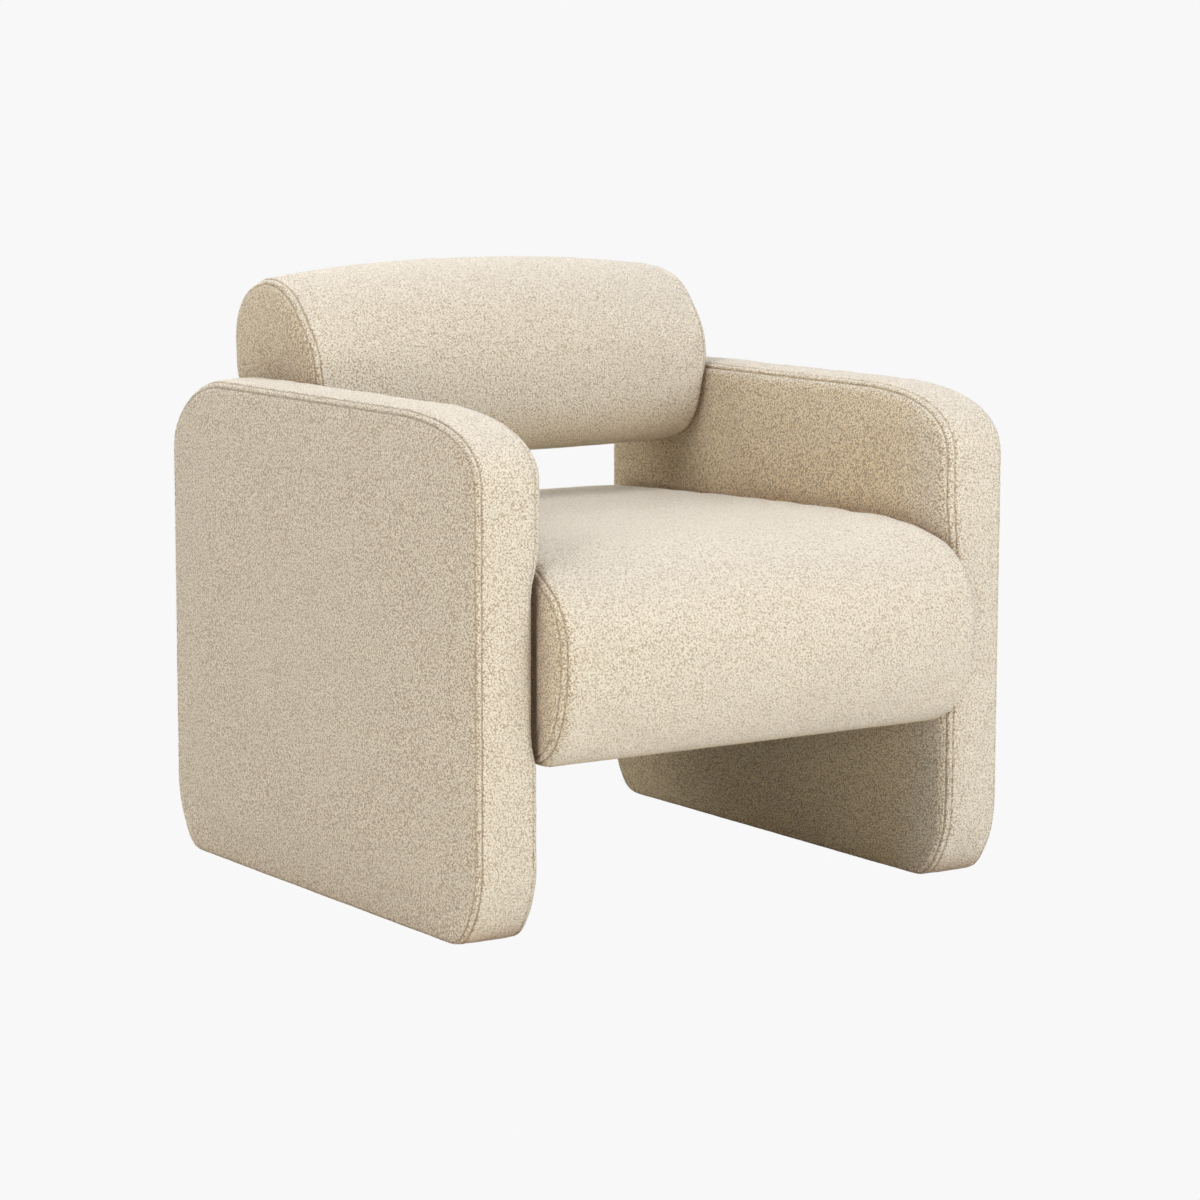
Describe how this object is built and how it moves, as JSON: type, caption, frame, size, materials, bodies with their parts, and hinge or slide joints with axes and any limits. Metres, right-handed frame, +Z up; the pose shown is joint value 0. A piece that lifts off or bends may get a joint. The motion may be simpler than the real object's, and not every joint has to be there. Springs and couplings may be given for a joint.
{
  "type": "upholstered armchair",
  "caption": "Low upholstered armchair in cream boucle: two slab arms to the floor, a thick rolled-front seat and a floating oval bolster back between them.",
  "frame": {"origin": "on the floor, at the centre of the chair's bounding box", "axes": "+Z up; the chair faces -Y, so +Y points to its rear; +X points to the arm on the right of someone looking at its front"},
  "size_m": [0.76, 0.8, 0.75],
  "materials": {
    "boucle": "matte",
    "foam": "matte",
    "black_liner": "matte",
    "webbing": "matte",
    "insulator": "matte",
    "timber": "matte",
    "plywood": "matte",
    "hardboard": "matte",
    "zinc_steel": "satin",
    "spring_steel": "satin",
    "nylon": "matte"
  },
  "bodies": {
    "root": {"back_bolts": "zinc_steel", "back_bottom_rail": "timber", "back_cover": "boucle", "back_foam": "foam", "back_left_end": "plywood", "back_rear_board": "hardboard", "back_right_end": "plywood", "back_tee_nuts": "zinc_steel", "back_top_rail": "timber", "back_washers": "zinc_steel", "back_webbing": "webbing", "left_arm_base_liner": "black_liner", "left_arm_bottom_rail": "timber", "left_arm_cover": "boucle", "left_arm_edge_strip": "hardboard", "left_arm_foam": "foam", "left_arm_front_post": "timber", "left_arm_glides": "nylon", "left_arm_inner_panel": "plywood", "left_arm_outer_panel": "plywood", "left_arm_rear_post": "timber", "left_arm_seat_rail": "timber", "left_arm_top_rail": "timber", "right_arm_base_liner": "black_liner", "right_arm_bottom_rail": "timber", "right_arm_cover": "boucle", "right_arm_edge_strip": "hardboard", "right_arm_foam": "foam", "right_arm_front_post": "timber", "right_arm_glides": "nylon", "right_arm_inner_panel": "plywood", "right_arm_outer_panel": "plywood", "right_arm_rear_post": "timber", "right_arm_seat_rail": "timber", "right_arm_top_rail": "timber", "seat_bolts": "zinc_steel", "seat_corner_blocks": "timber", "seat_cover": "boucle", "seat_deck_board": "plywood", "seat_dust_cover": "black_liner", "seat_foam": "foam", "seat_front_rail": "timber", "seat_insulator": "insulator", "seat_left_rail": "timber", "seat_rear_rail": "timber", "seat_right_rail": "timber", "seat_spring_clips": "zinc_steel", "seat_spring_rail": "timber", "seat_springs": "spring_steel", "seat_tee_nuts": "zinc_steel", "seat_tie_wires": "spring_steel", "seat_washers": "zinc_steel"}
  },
  "joints": []
}
